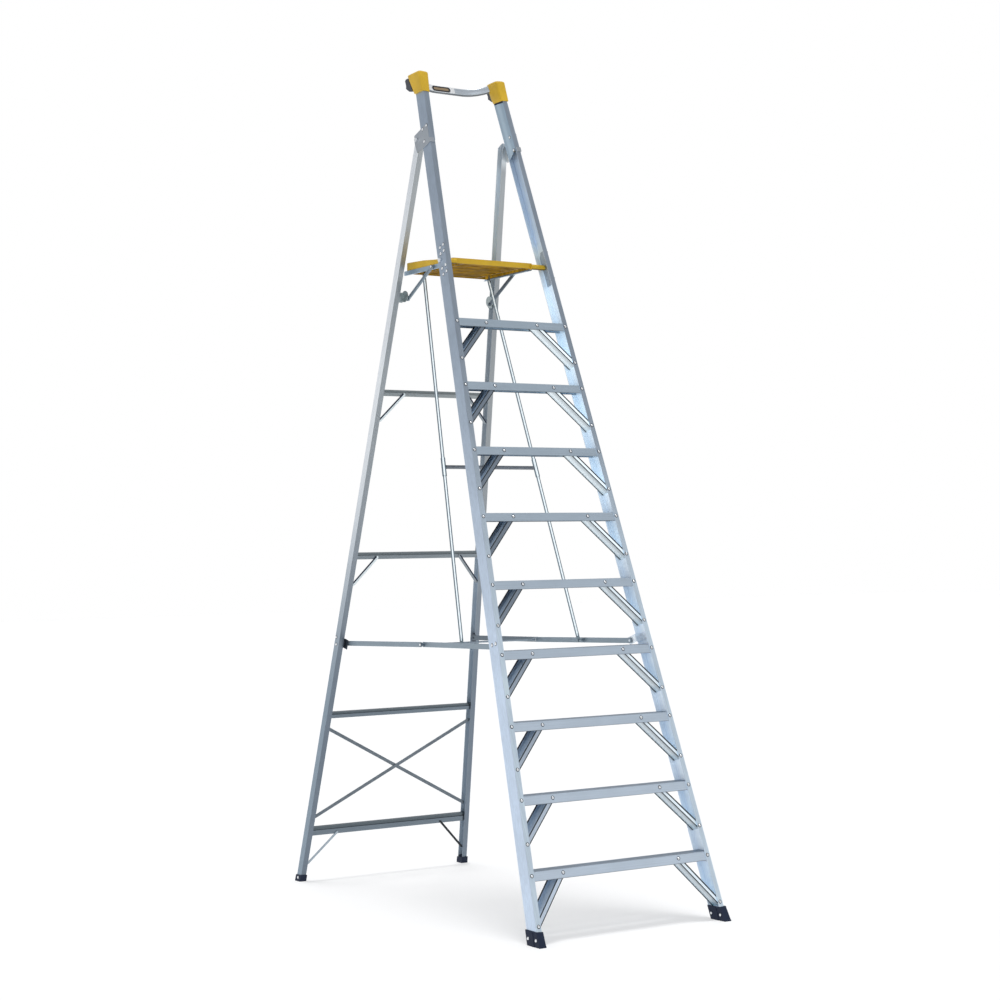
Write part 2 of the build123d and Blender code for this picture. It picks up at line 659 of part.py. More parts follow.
def platform_deck():
    """Moulded platform: skin, ribs across below, a rim that rises to the rear, and pivot lugs."""
    deck = Pos(0, 0, deck_low) * extrude(deck_plan(0, 10), amount=deck_level - deck_low)
    hollow = Pos(0, 0, deck_low - 1) * extrude(deck_plan(6, 6), amount=deck_level - deck_skin - deck_low + 1)
    middle, length = (deck_front + deck_rear) / 2, deck_rear - deck_front
    for side in (1, -1):
        hollow -= Pos(side * rib_half, middle, deck_low) * Box(deck_rib, length, 60)
    y = deck_front + 32
    while y < deck_rear - 20:
        hollow -= Pos(0, y, deck_low) * Box(2 * rib_half, deck_rib, 60)
        y += 40
    deck -= hollow
    ring = deck_plan(0, 10) - deck_plan(rim_wall, 6)
    rim = Pos(0, 0, deck_level) * extrude(ring, amount=rim_top - deck_level)
    toe, clear = deck_front - 5, rim_top + 20
    above = make_face(Polyline((toe, deck_level), (deck_front + 40, deck_level), (1215, rim_top - 5),
                               (1340, rim_top), (1340, clear), (toe, clear), close=True))
    rim -= extrude(Plane.YZ * above, amount=400, both=True)
    deck += rim
    tread_rib = deck_front + 20
    while tread_rib < deck_rear - 24:
        deck += Pos(0, tread_rib, deck_level + 0.6) * Box(2 * deck_front_half - 40, 5, 1.2)
        tread_rib += 20
    deck = deck_tilt() * deck
    for side in (1, -1):
        lug = sorted((side * (deck_front_half - 12), side * 266.5))
        deck += x_bar(deck_lug_r, *lug, *deck_pivot)
        bore = sorted((side * 240, side * 280))
        deck -= x_bar(hinge_bolt_r + running, *bore, *deck_pivot)
        near = sorted((side * (rod_top_x - 9.5), side * (rod_top_x - 4.5)))
        ear = x_bar(11.0, *near, *rod_top)
        ear += on_floor * Pos(sum(near) / 2, rod_top[0], rod_top[1] + 11) * Box(5, 22, 22)
        deck += ear
        pin = sorted((side * (rod_top_x - 7), side * (rod_top_x + 5)))
        deck += x_bar(pin_r, *pin, *rod_top)
    return deck


def platform_side_rail():
    """Angle along the platform's side edge, carrying the strut's upper pin."""
    y0, y1 = deck_front + 12, deck_rear + 14
    plan = [(deck_half(y0), y0), (deck_half(y0) + side_rail_wall, y0), (deck_half(y1) + side_rail_wall, y1),
            (deck_half(y1), y1)]
    tall = side_rail_top - side_rail_low
    rail = Pos(0, 0, side_rail_low) * extrude(make_face(Polyline(*plan, close=True)), amount=tall)
    foot = [(deck_half(y0) - 6, y0 + 30), (deck_half(y0) + side_rail_wall, y0 + 30),
            (deck_half(y1) + side_rail_wall, y1), (deck_half(y1) - 6, y1)]
    rail += Pos(0, 0, side_rail_low) * extrude(make_face(Polyline(*foot, close=True)), amount=side_rail_wall)
    rail = deck_tilt() * rail
    x = deck_half(strut_top[0]) + 0.5
    return rail + x_bar(pin_r, x, strut_x + strut_thick / 2 + 3, *strut_top)


def write(name, shape):
    export_step(shape, os.path.join("parts", name + ".step"))


def write_pair(name, right):
    for side, piece in both(right).items():
        write(f"{name}_{side}", piece)


def grouped(pieces):
    """Separate solids that share one node, with their mirror images."""
    everything = list(pieces) + [mirror(p, about=Plane.YZ) for p in pieces]
    return Compound(children=[s for p in everything for s in p.solids()])


def main():
    os.makedirs("parts", exist_ok=True)
    write_pair("front_stile", front_stile())
    for index in range(1, tread_count + 1):
        write(f"tread_{index}", tread(index))
    write("knee_braces", grouped(knee_braces()))
    write_pair("front_boot", front_boot())
    write_pair("cap", cap())
    write("top_rail", top_rail())
    write_pair("rail_plug", rail_plug())
    write_pair("stile_liner", stile_liner())
    write_pair("hinge_plate_outer", hinge_plate())
    write("hinge_bolts", grouped([hinge_bolts()]))
    write_pair("pivot_plate", pivot_plate())
    write("platform_pins", grouped([platform_pins()]))
    write_pair("front_spreader_bracket", front_spreader_bracket())

    write_pair("rear_stile", rear_stile())
    for index, (height, tall) in enumerate(zip(rear_rail_heights, rear_rail_tall), start=1):
        write(f"rear_rail_{index}", rear_rail(height, tall))
    write("rear_knee_straps", grouped(rear_knee_straps()))
    write("cross_brace_front", cross_brace(1))
    write("cross_brace_back", cross_brace(-1))
    write_pair("rear_foot", rear_foot())
    write_pair("strut_bracket", strut_bracket())
    write_pair("rear_spreader_bracket", rear_spreader_bracket())

    write("platform_deck", platform_deck())
    write_pair("platform_side_rail", platform_side_rail())
    write_pair("strut", strut())
    write_pair("front_link", front_link())
    write("spreader_tie", spreader_tie())
    write_pair("rear_link", rear_link())
    write_pair("rod", rod())
    write("rod_crossbar", rod_crossbar())

    for label, point in (("hinge", hinge), ("platform pivot", deck_pivot), ("front link", link_front),
                         ("joint", joint), ("joint shut", joint_shut), ("rear link", link_rear),
                         ("strut top", strut_top), ("strut rear", strut_rear), ("rod bottom", rod_bottom),
                         ("rod top", rod_top)):
        print(f"{label}: y {point[0] - middle_y:.2f} z {point[1]:.2f}")


main()
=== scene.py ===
"""Platform ladder: camera, light, procedural finishes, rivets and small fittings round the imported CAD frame."""
import json
import math

import bmesh
import bpy
import numpy as np
from mathutils import Matrix, Vector


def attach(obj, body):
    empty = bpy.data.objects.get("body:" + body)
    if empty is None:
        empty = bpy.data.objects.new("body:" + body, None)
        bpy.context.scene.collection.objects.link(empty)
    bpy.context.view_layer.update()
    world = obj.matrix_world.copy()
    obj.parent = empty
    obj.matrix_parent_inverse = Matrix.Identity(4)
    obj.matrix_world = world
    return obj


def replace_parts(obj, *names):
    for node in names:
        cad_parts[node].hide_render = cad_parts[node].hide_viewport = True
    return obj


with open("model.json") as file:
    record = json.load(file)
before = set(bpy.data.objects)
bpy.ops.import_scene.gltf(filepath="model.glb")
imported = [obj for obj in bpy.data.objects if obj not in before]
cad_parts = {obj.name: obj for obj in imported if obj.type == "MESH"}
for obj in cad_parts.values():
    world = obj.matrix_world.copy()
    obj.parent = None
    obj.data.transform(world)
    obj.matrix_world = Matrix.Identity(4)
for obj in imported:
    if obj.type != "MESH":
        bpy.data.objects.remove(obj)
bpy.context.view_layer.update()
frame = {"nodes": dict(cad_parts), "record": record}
nodes = frame["nodes"]

# Climbing frame as in the CAD source, in metres and radians
FRONT_LEAN = math.radians(17.8)
FRONT_TAPER = math.radians(3.66)
FRONT_HALF = 0.466
STILE_DEPTH = 0.071
TREADS = 9
TREAD_RISE = 0.285
TREAD_FIRST = 0.276
APRON_TALL = 0.0362
APRON_FACE = 0.00225
RIVET_IN = 0.0138
RIVET_DROP = 0.013
BRACE_REACH = 0.149
BRACE_DROP = 0.1665
FIRST_BRACE_DROP = 0.187
BRACE_NEAR = 0.0047
BRACE_SLANT = 0.21
BRACE_SKEW = 0.0129

# Rear frame, platform and links as in the CAD source; a pair is (y, z) and CROSSBAR is (half length, y, z)
REAR_LEAN = math.radians(14.7)
REAR_TAPER = math.radians(3.737)
REAR_HALF = 0.463
REAR_DEPTH = 0.0413
FOOT_SPREAD = 2.0828
MIDDLE_Y = 1.056761
REAR_START = FOOT_SPREAD - MIDDLE_Y
DECK_PIVOT = (-0.09902, 2.826)
DECK_RISE = math.tan(math.radians(1.1))
DECK_FLARE = 0.01544
LINK_FRONT, LINK_JOINT, LINK_REAR = (-0.58376, 1.147), (0.08564, 1.14134), (0.71664, 1.136)
LINK_THICK = 0.003
CROSSBAR = (0.2417, -0.03186, 1.922)

SF, CF = math.sin(FRONT_LEAN), math.cos(FRONT_LEAN)
ST, CT = math.sin(FRONT_TAPER), math.cos(FRONT_TAPER)
SR, CR = math.sin(REAR_LEAN), math.cos(REAR_LEAN)
SU, CU = math.sin(REAR_TAPER), math.cos(REAR_TAPER)

# Unit vectors: the floor's, then each frame's back (square to its face) and along (up its slope)
ACROSS, BACK, UP = np.eye(3)
FRONT_BACK = np.array((0.0, CF, -SF))
FRONT_ALONG = np.array((0.0, SF, CF))
REAR_BACK = np.array((0.0, CR, SR))
REAR_ALONG = np.array((0.0, -SR, CR))
WEB_OUT = CT * ACROSS + ST * FRONT_ALONG
STILE_LINE = -ST * ACROSS + CT * FRONT_ALONG
REAR_WEB_OUT = CU * ACROSS + SU * REAR_ALONG


def spread(amount, axis):
    """An axis times a number, or times every number of an array."""
    return np.multiply.outer(amount, axis)


def on_front(u, back, along):
    """Point of the climbing frame: u ACROSS + back FRONT_BACK + along FRONT_ALONG."""
    return spread(u, ACROSS) + spread(back, FRONT_BACK) + spread(along, FRONT_ALONG) - MIDDLE_Y * BACK


def on_web(out, back, height):
    """Point of the right-hand front stile at a distance out from its web's outer face and at a height."""
    along = (height + back * SF) / CF
    return on_front(FRONT_HALF - along * math.tan(FRONT_TAPER), back, along) + spread(out, WEB_OUT)


def on_rear(u, back, along):
    """Point of the rear frame: u ACROSS + back REAR_BACK + along REAR_ALONG."""
    return spread(u, ACROSS) + spread(back, REAR_BACK) + spread(along, REAR_ALONG) + REAR_START * BACK


def on_rear_web(out, back, height):
    """Point of the right-hand rear stile at a distance out from its web's outer face and at a height."""
    along = (height - back * SR) / CR
    return on_rear(REAR_HALF - along * math.tan(REAR_TAPER), back, along) + out * REAR_WEB_OUT


# Shader maths


class Value:
    """A number or colour in a shader: arithmetic on it adds Math nodes to its tree."""

    def __init__(self, tree, socket):
        self.tree, self.socket = tree, socket

    def math(self, kind, *others, first=None):
        made = self.tree.nodes.new("ShaderNodeMath")
        made.operation = kind
        for slot, item in enumerate(([first] if first is not None else []) + [self, *others]):
            plug(self.tree, made.inputs[slot], item)
        return Value(self.tree, made.outputs[0])

    def __add__(self, other):
        return self.math("ADD", other)

    __radd__ = __add__

    def __sub__(self, other):
        return self.math("SUBTRACT", other)

    def __rsub__(self, other):
        return self.math("SUBTRACT", first=other)

    def __mul__(self, other):
        return self.math("MULTIPLY", other)

    __rmul__ = __mul__

    def between(self, low, high):
        """0 below low, 1 above high, smooth between."""
        return add(self.tree, "ShaderNodeMapRange", 0, {"Value": self, "From Min": low, "From Max": high},
                   interpolation_type="SMOOTHSTEP")

    def until(self, low, high):
        """1 below low, 0 above high, smooth between."""
        return (self * -1.0).between(-high, -low)

    def mix(self, a, b):
        """Colour a where this is 0, b where it is 1."""
        made = self.tree.nodes.new("ShaderNodeMix")
        made.data_type = "RGBA"
        plug(self.tree, made.inputs[0], self)
        plug(self.tree, made.inputs[6], a)
        plug(self.tree, made.inputs[7], b)
        return Value(self.tree, made.outputs[2])


def plug(tree, socket, item):
    """Links a Value to a socket, or sets the socket to a plain number or colour."""
    if isinstance(item, Value):
        tree.links.new(item.socket, socket)
    elif isinstance(item, tuple) and len(item) == 3 and socket.type == "RGBA":
        socket.default_value = (*item, 1.0)
    else:
        socket.default_value = item


def add(tree, kind, output, inputs, **settings):
    """Any other node: its settings, its inputs by name, and one of its outputs as a Value."""
    made = tree.nodes.new(kind)
    for key, item in settings.items():
        setattr(made, key, item)
    for key, item in inputs.items():
        plug(tree, made.inputs[key], item)
    return Value(tree, made.outputs[output])


def lined(tree, output, axis, offset=0.0):
    """Place or face direction of the surface in the object's own axes, measured along one axis."""
    vector = add(tree, "ShaderNodeTexCoord", output, {})
    return add(tree, "ShaderNodeVectorMath", "Value", {0: vector, 1: tuple(float(v) for v in axis)},
               operation="DOT_PRODUCT") + offset


def coordinates(tree, *axes):
    """Object coordinates measured along three scaled axes."""
    return add(tree, "ShaderNodeCombineXYZ", 0, {name: lined(tree, "Object", a) for name, a in zip("XYZ", axes)})


def noise(tree, place, scale, detail=2.0, roughness=0.5):
    """Value of a noise texture at a place."""
    return add(tree, "ShaderNodeTexNoise", 0,
               {"Vector": place, "Scale": scale, "Detail": detail, "Roughness": roughness})


def shaded(tree, colour, tone, dark, light):
    """A colour multiplied by a factor that goes from dark to light with a tone of 0 to 1."""
    factor = tone * (light - dark) + dark
    return add(tree, "ShaderNodeVectorMath", 0, {0: colour, 1: factor}, operation="MULTIPLY")


def tint(colour, factor):
    """A plain colour times a factor."""
    return tuple(c * factor for c in colour)


def same(colour):
    """One colour at every height, where a low and a high one are asked for."""
    return colour, colour


# Places of a surface


def rise(tree, base=0.0):
    """Height above a base level."""
    return lined(tree, "Object", UP, -base)


def off_middle(tree):
    """Distance from the middle plane."""
    return lined(tree, "Object", ACROSS).math("ABSOLUTE")


def front_back(tree):
    """Distance behind the climbing frame's front face."""
    return lined(tree, "Object", FRONT_BACK, MIDDLE_Y * CF)


def front_along(tree):
    """Distance up the climbing frame's slope."""
    return lined(tree, "Object", FRONT_ALONG, MIDDLE_Y * SF)


def rear_back(tree):
    """Distance behind the rear frame's front face."""
    return lined(tree, "Object", REAR_BACK, -REAR_START * CR)


def rear_along(tree):
    """Distance up the rear frame's slope."""
    return lined(tree, "Object", REAR_ALONG, REAR_START * SR)


# Zones of a finish, which give 1 where a colour of their own goes and 0 elsewhere

# Ranges that a zone starts or ends over: a face's turn, a channel's skin, heights at the platform
FACING = (0.5, 0.8)
SKIN = (0.0010, 0.0013)
DECK_TOP, DECK_LOW = (2.88, 2.96), (2.74, 2.88)


def toward(axis):
    """Zone of the faces that look along an axis."""
    return lambda tree: lined(tree, "Normal", axis).between(*FACING)


def sideways(sign):
    """Zone of the faces that look away from the middle plane, or to it with a sign of -1."""
    def zone(tree):
        side = lined(tree, "Object", ACROSS).math("SIGN")
        return (lined(tree, "Normal", ACROSS) * side * sign).between(*FACING)
    return zone


def inside(along, back, half, taper, depth):
    """Zone within a tapered channel: more than a skin in from its web's outer face and from both flanges'."""
    def zone(tree):
        deep = back(tree)
        out = off_middle(tree) * math.cos(taper) + along(tree) * math.sin(taper) - half * math.cos(taper)
        return out.until(-SKIN[1], -SKIN[0]) * deep.between(*SKIN) * deep.until(depth - SKIN[1], depth - SKIN[0])
    return zone


FRONT_FACE, UPPER, UNDER = toward(-FRONT_BACK), toward(UP), toward(-UP)
OUTWARD, INWARD = sideways(1.0), sideways(-1.0)
IN_FRONT_STILE = inside(front_along, front_back, FRONT_HALF, FRONT_TAPER, STILE_DEPTH)
IN_REAR_STILE = inside(rear_along, rear_back, REAR_HALF, REAR_TAPER, REAR_DEPTH)


def not_front(tree):
    """Zone of the faces that don't look to the front."""
    return 1.0 - FRONT_FACE(tree)


def right_hand(tree):
    """Zone of the right-hand half."""
    middle = (-0.01, 0.01)
    return lined(tree, "Object", ACROSS).between(*middle)


def above_deck(tree):
    """Zone inside the front stiles above the platform, where their painted light is dimmer."""
    return IN_FRONT_STILE(tree) * rise(tree).between(*DECK_TOP)


def below_deck(tree):
    """Zone inside the front stiles below the platform, where a painted glow goes."""
    return IN_FRONT_STILE(tree) * rise(tree).until(*DECK_LOW)


def brace_slopes(drop):
    """Shares of a distance across and of one along the slope that add up to the distance from a brace's line."""
    long = math.hypot(drop / CF, BRACE_REACH)
    return drop / CF / long, BRACE_REACH / long


def brace_edge_shade(tree):
    """Zone of painted shade along the knee braces' folded edges, about 7 mm from a brace's middle line, wider on top at
    the right.

    w is the distance across from the bay's upper rivet with the stile's taper taken out, a the distance along the
    slope from it, which repeats with the treads' rise; the shares of both give the distance from the brace's line.
    """
    fold, broad = (0.0066, 0.0076), (0.0042, 0.0052)
    above, pitch = 0.03, TREAD_RISE / CF
    along = front_along(tree)
    w = off_middle(tree) + along * math.tan(FRONT_TAPER) + (RIVET_IN + BRACE_REACH - FRONT_HALF)
    down = (TREAD_FIRST - RIVET_DROP) / CF + above - along
    a = above - (down * (1.0 / pitch)).math("FRACT") * pitch
    lowest = down.between(0.0, 0.001)
    (w_share, a_share), (w_lowest, a_lowest) = brace_slopes(BRACE_DROP), brace_slopes(FIRST_BRACE_DROP)
    middle = w * (lowest * (w_lowest - w_share) + w_share) + a * (lowest * (a_lowest - a_share) + a_share)
    middle = middle - (front_back(tree) - BRACE_NEAR) * BRACE_SLANT
    return middle.math("ABSOLUTE").between(*fold).math("MAXIMUM", right_hand(tree) * middle.between(*broad))


def brace_light(tree):
    """Zone of the right-hand braces between their folded edges, where a painted glow goes."""
    return right_hand(tree) * (1.0 - brace_edge_shade(tree))


def behind(tree):
    """Zone of painted shade on the rear rails' upper strip, set back from the lower one, and on their tops."""
    step = (0.0105, 0.0125)
    return rear_back(tree).between(*step) * (1.0 - UNDER(tree))


def liner_highlight(tree):
    """Zone along the middle of a liner plate, where a highlight is painted."""
    front, rear = (0.016, 0.034), (0.042, 0.060)
    back = front_back(tree)
    return back.between(*front) * back.until(*rear)


def under_deck_shade(tree):
    """Zone below the platform's skin and inside its skirt, in the platform's own slight rise, where shade is painted.
    """
    skirt, front, end, skin = (0.2055, 0.2065), (0.008, 0.010), (0.4085, 0.4095), (0.0115, 0.0125)
    back = lined(tree, "Object", BACK, -DECK_PIVOT[0])
    within = (off_middle(tree) - back * DECK_FLARE).until(*skirt) * back.between(*front) * back.until(*end)
    return within * (rise(tree, DECK_PIVOT[1]) - back * DECK_RISE).until(*skin)


def rod_highlight(tree):
    """Zone along the rods that looks to the front and left, where a highlight is painted."""
    side, stripe = (-0.45, -0.89, 0.0), (0.84, 0.94)
    return lined(tree, "Normal", side).between(*stripe)


def far_link_shade(tree):
    """Zone of the right-hand rear links, where shade is painted."""
    joint = (0.08, 0.09)
    return right_hand(tree) * lined(tree, "Object", BACK).between(*joint)


# Shades: factors on a finish's colour


def stile_shade(tree):
    """Dimmer inside the front stiles towards their tops."""
    heights, dim = (2.95, 3.35), 0.20
    return 1.0 - IN_FRONT_STILE(tree) * rise(tree).between(*heights) * dim


def rear_shade(tree):
    """Dimmer inside the rear stiles, and on the right-hand one, from the second rail's height up to the platform;
    at the right-hand one's top, lighter outside and dimmer inside.
    """
    band_low, band_high, top_low = (1.5, 2.0), (2.8, 3.0), (3.30, 3.36)
    top_outside, top_inside, band_inside, band_right = 0.7, -0.2, 0.18, 0.16
    up, right, within = rise(tree), right_hand(tree), IN_REAR_STILE(tree)
    band = up.between(*band_low) * up.until(*band_high)
    top = up.between(*top_low) * right
    lighter = top * (within * (top_inside - top_outside) + top_outside)
    return 1.0 + lighter - band * (within * band_inside + right * band_right)


def tread_shade(tree):
    """Darker tops, and a dark line along the aprons' lower edges, which repeats with the treads' rise."""
    line, top_dark, line_dark = (0.0018, 0.0036), 0.65, 0.7
    bay = rise(tree, TREAD_FIRST - APRON_TALL) * (1.0 / TREAD_RISE)
    clear = bay.math("FRACT").between(line[0] / TREAD_RISE, line[1] / TREAD_RISE)
    return (1.0 - UPPER(tree) * top_dark) * (clear * line_dark + (1.0 - line_dark))


def rail_shade(tree):
    """Darker on the faces that look down."""
    turn, dark = (0.25, 0.7), 0.75
    return 1.0 - lined(tree, "Normal", -UP).between(*turn) * dark


# Finishes

# Streaks of drawn metal, and ripples in the painted shade under a moulding, in a metre
STREAKS_ACROSS, STREAKS_ALONG = 260, 2.2
RIPPLES_WIDE, RIPPLES_BACK = 9, 70


def finish(name, metallic, specular=0.5):
    """New material with a Principled surface; returns the material, its tree and a setter of inputs."""
    material = bpy.data.materials.new(name)
    material.use_nodes = True
    tree = material.node_tree
    surface = tree.nodes["Principled BSDF"]
    surface.inputs["Metallic"].default_value = metallic
    surface.inputs["Specular IOR Level"].default_value = specular

    def put(**inputs):
        for key, item in inputs.items():
            plug(tree, surface.inputs[key.replace("_", " ")], item)

    return material, tree, put


def drawn_metal(name, colours, line, side, heights=(0.2, 2.6), zones=(), metallic=0.85, rough=0.34, streak=0.10,
                depth=0.00004, shade=None, glow=None):
    """Extruded metal: fine streaks along the extrusion, broad cloudiness, a little unevenness in gloss.

    Colours go from a low one to a high one over a range of heights, painted light and shade that change with height;
    a zone (mask, low, high, metallic) has its own, painted light or shade on its faces. A painted glow (mask, low,
    high, heights) is emission that stands in for the light that the white surround gives to faces by many reflections.
    """
    material, tree, put = finish(name, metallic)
    square = np.cross(line, side)
    streaks = coordinates(tree, side * STREAKS_ACROSS, square * STREAKS_ACROSS, line * STREAKS_ALONG)
    fine = noise(tree, streaks, scale=1.0, detail=3.0, roughness=0.6)
    cloud = noise(tree, coordinates(tree, side, square, line), scale=5.0, detail=3.0)
    # Painted light and shade: the colour changes with height.
    up = rise(tree).between(*heights)
    base, metal = up.mix(*colours), metallic
    # Each zone paints light or shade on its own faces.
    for mask, low, high, own_metal in zones:
        share = mask(tree)
        base = share.mix(base, up.mix(low, high))
        metal = share * own_metal + (1.0 - share) * metal
    # Painted shade: a factor on the colour.
    if shade:
        base = shaded(tree, base, shade(tree), dark=0.0, light=1.0)
    # Painted glow: emission that stands in for light from the white surround.
    if glow:
        mask, low, high, glow_heights = glow
        lift = rise(tree).between(*glow_heights).mix(low, high)
        put(Emission_Color=mask(tree).mix((0.0, 0.0, 0.0), lift), Emission_Strength=1.0)
    tone = (fine * 0.6 + cloud * 0.4).between(0.28, 0.72)
    put(Base_Color=shaded(tree, base, tone, dark=1 - streak, light=1 + 0.5 * streak), Metallic=metal,
        Roughness=(rough - 0.06) + fine * 0.08 + cloud * 0.05,
        Normal=add(tree, "ShaderNodeBump", 0, {"Height": fine, "Strength": 0.25, "Distance": depth}))
    return material


def galvanised(name, colour, rough=0.42, spangle=90.0, contrast=0.16):
    """Zinc-coated steel: crystal spangle of slightly different tones and gloss under a dull bloom."""
    material, tree, put = finish(name, metallic=0.85)
    place = coordinates(tree, ACROSS, BACK, UP)
    crystal = add(tree, "ShaderNodeTexVoronoi", "Color", {"Vector": place, "Scale": spangle})
    cell = add(tree, "ShaderNodeSeparateColor", 0, {"Color": crystal})
    bloom = noise(tree, place, scale=9.0, detail=4.0)
    tone = cell * 0.55 + bloom * 0.45
    put(Base_Color=tone.between(0.15, 0.85).mix(tint(colour, 1 - contrast), tint(colour, 1 + 0.6 * contrast)),
        Roughness=(rough - 0.05) + cell * 0.08 + bloom * 0.06)
    return material


def moulded(name, colour, rough=0.42, grain=900.0, depth=0.00005, fade=0.08, specular=0.45, under=None):
    """Moulded plastic or rubber: fine pebbled grain and faint unevenness of colour; given an underside colour, painted
    shade under it, in ripples and darkest on faces that look down.
    """
    material, tree, put = finish(name, metallic=0.0, specular=specular)
    place = coordinates(tree, ACROSS, BACK, UP)
    pebble = noise(tree, place, scale=grain)
    cloud = noise(tree, place, scale=14.0, detail=3.0)
    base = colour
    # Painted shade under the platform and inside its skirt, in ripples, darkest where faces look down.
    if under:
        ripples = coordinates(tree, ACROSS * RIPPLES_WIDE, BACK * RIPPLES_BACK, UP * RIPPLES_WIDE)
        ripple = noise(tree, ripples, scale=1.0, detail=3.0)
        below = shaded(tree, under, ripple.between(0.3, 0.7), dark=0.55, light=1.35)
        base = under_deck_shade(tree).mix(colour, below)
        base = UNDER(tree).mix(base, tint(under, 0.35))
    put(Base_Color=shaded(tree, base, cloud.between(0.25, 0.75), dark=1 - fade, light=1 + fade),
        Roughness=(rough - 0.05) + cloud * 0.1,
        Normal=add(tree, "ShaderNodeBump", 0, {"Height": pebble, "Strength": 0.3, "Distance": depth}))
    return material


# Tones of painted light and shade: BRIGHT for painted highlights and lit faces, MID for the rear stiles' insides low
# down, DARK for painted shade along the braces' edges.
BRIGHT, MID, DARK = (0.95, 0.98, 1.0), (0.42, 0.50, 0.58), (0.018, 0.024, 0.030)
YELLOW = (0.66, 0.42, 0.030)
LOOKS = {
    # Stiles: painted light, lighter towards the floor and bright and bluish inside, dimmer inside above the platform,
    # with a painted glow inside below it; stile_shade paints shade inside near the tops.
    "stile_aluminium": drawn_metal(
        "stile metal", ((0.60, 0.71, 0.86), (0.40, 0.48, 0.58)), STILE_LINE, FRONT_BACK, heights=(1.1, 2.5),
        zones=[(FRONT_FACE, (0.76, 0.89, 1.0), (0.35, 0.41, 0.48), 0.85),
               (IN_FRONT_STILE, (0.83, 0.92, 1.0), (0.84, 0.94, 1.0), 0.2),
               (above_deck, *same((0.67, 0.82, 1.0)), 0.2)],
        streak=0.16, shade=stile_shade,
        glow=(below_deck, (0.07, 0.085, 0.11), (0.14, 0.18, 0.235), (1.45, 1.95))),
    # Treads: painted light, lighter towards the floor; tread_shade paints darker tops and a shadow line along each
    # apron's lower edge.
    "tread_aluminium": drawn_metal(
        "tread metal", ((0.66, 0.76, 0.87), (0.46, 0.55, 0.63)), ACROSS, FRONT_BACK, rough=0.40, shade=tread_shade),
    # Rear stiles: darker towards the floor, and painted light makes their outer webs and insides bright higher up;
    # rear_shade paints more shade and light.
    "rear_aluminium": drawn_metal(
        "rear metal", ((0.19, 0.23, 0.28), (0.39, 0.42, 0.44)), REAR_ALONG, ACROSS, heights=(0.8, 2.3),
        zones=[(OUTWARD, (0.25, 0.32, 0.39), (0.92, 0.96, 1.0), 0.85),
               (IN_REAR_STILE, MID, (0.74, 0.83, 0.91), 0.2)],
        shade=rear_shade),
    # Plates: a painted highlight along the middle of the liners.
    "plate_aluminium": drawn_metal(
        "plate metal", same((0.36, 0.47, 0.57)), FRONT_ALONG, ACROSS, rough=0.42,
        zones=[(liner_highlight, *same((0.46, 0.58, 0.68)), 0.85)]),
    "rail_aluminium": drawn_metal("rail metal", same((0.60, 0.66, 0.72)), ACROSS, FRONT_BACK, shade=rail_shade),
    "galvanised_steel": galvanised("galvanised sheet", (0.44, 0.51, 0.58)),
    # Rods: a painted highlight along the faces that look to the front and left, with a painted glow on it.
    "rod_steel": drawn_metal(
        "zinc plated tube", same((0.19, 0.25, 0.29)), FRONT_ALONG, ACROSS, streak=0.05,
        zones=[(rod_highlight, *same(BRIGHT), 0.3)], glow=(rod_highlight, *same((0.30, 0.36, 0.38)), (0, 3))),
    # Links: painted shade on the right-hand rear ones.
    "link_steel": drawn_metal(
        "galvanised bar", same((0.29, 0.355, 0.41)), BACK, ACROSS, rough=0.42,
        zones=[(far_link_shade, *same((0.13, 0.165, 0.20)), 0.85)]),
    "bolt_steel": galvanised("zinc plated bolt", (0.86, 0.88, 0.90), rough=0.28, spangle=300.0, contrast=0.06),
    "yellow_moulding": moulded("yellow moulding", YELLOW, specular=0.25),
    "grey_moulding": moulded("grey moulding", (0.050, 0.058, 0.072), rough=0.5),
    "black_rubber": moulded("black rubber", (0.012, 0.020, 0.045), rough=0.62, grain=600.0, specular=0.25),
}

# Nodes whose finish differs a little from the rest of their slot, by the start of their names
NODE_LOOKS = {
    # Knee braces: painted light, lighter towards the floor, one tone on faces that don't look to the front, bright on
    # the right-hand side with a painted glow; dark lines of painted shade along the folded edges.
    "knee_braces": drawn_metal(
        "brace metal", ((0.72, 0.82, 0.94), (0.26, 0.31, 0.37)), STILE_LINE, FRONT_BACK, heights=(0.1, 1.6),
        zones=[(not_front, *same((0.60, 0.70, 0.80)), 0.2), (right_hand, *same(BRIGHT), 0.4),
               (brace_edge_shade, *same(DARK), 0.2)],
        glow=(brace_light, (0.03, 0.10, 0.15), (0.28, 0.37, 0.41), (0.8, 2.4))),
    # Rear rails: darker towards the floor, with painted shade on the set-back upper strip and the tops.
    "rear_rail": drawn_metal(
        "rear rail metal", ((0.18, 0.22, 0.26), (0.31, 0.34, 0.35)), ACROSS, REAR_ALONG, heights=(0.8, 2.3),
        zones=[(behind, (0.11, 0.138, 0.158), (0.195, 0.222, 0.23), 0.6)]),
    # Hinge plates: painted light makes the faces that look to the middle bright.
    "hinge_plate_outer": drawn_metal(
        "hinge plate", same((0.43, 0.47, 0.51)), STILE_LINE, FRONT_BACK, rough=0.42,
        zones=[(INWARD, *same((0.78, 0.83, 0.87)), 0.2)]),
    "strut_bracket": galvanised("strut bracket", (0.40, 0.46, 0.47)),
    "rear_spreader_bracket": galvanised("spreader bracket, rear", (0.07, 0.085, 0.11)),
    "front_spreader_bracket": galvanised("spreader bracket, front", (0.80, 0.87, 0.94)),
    "spreader_tie": galvanised("spreader tie", (0.30, 0.36, 0.42)),
    # Platform: painted shade on its underside.
    "platform_deck": moulded("platform moulding", YELLOW, specular=0.25, under=(0.46, 0.26, 0.008)),
}
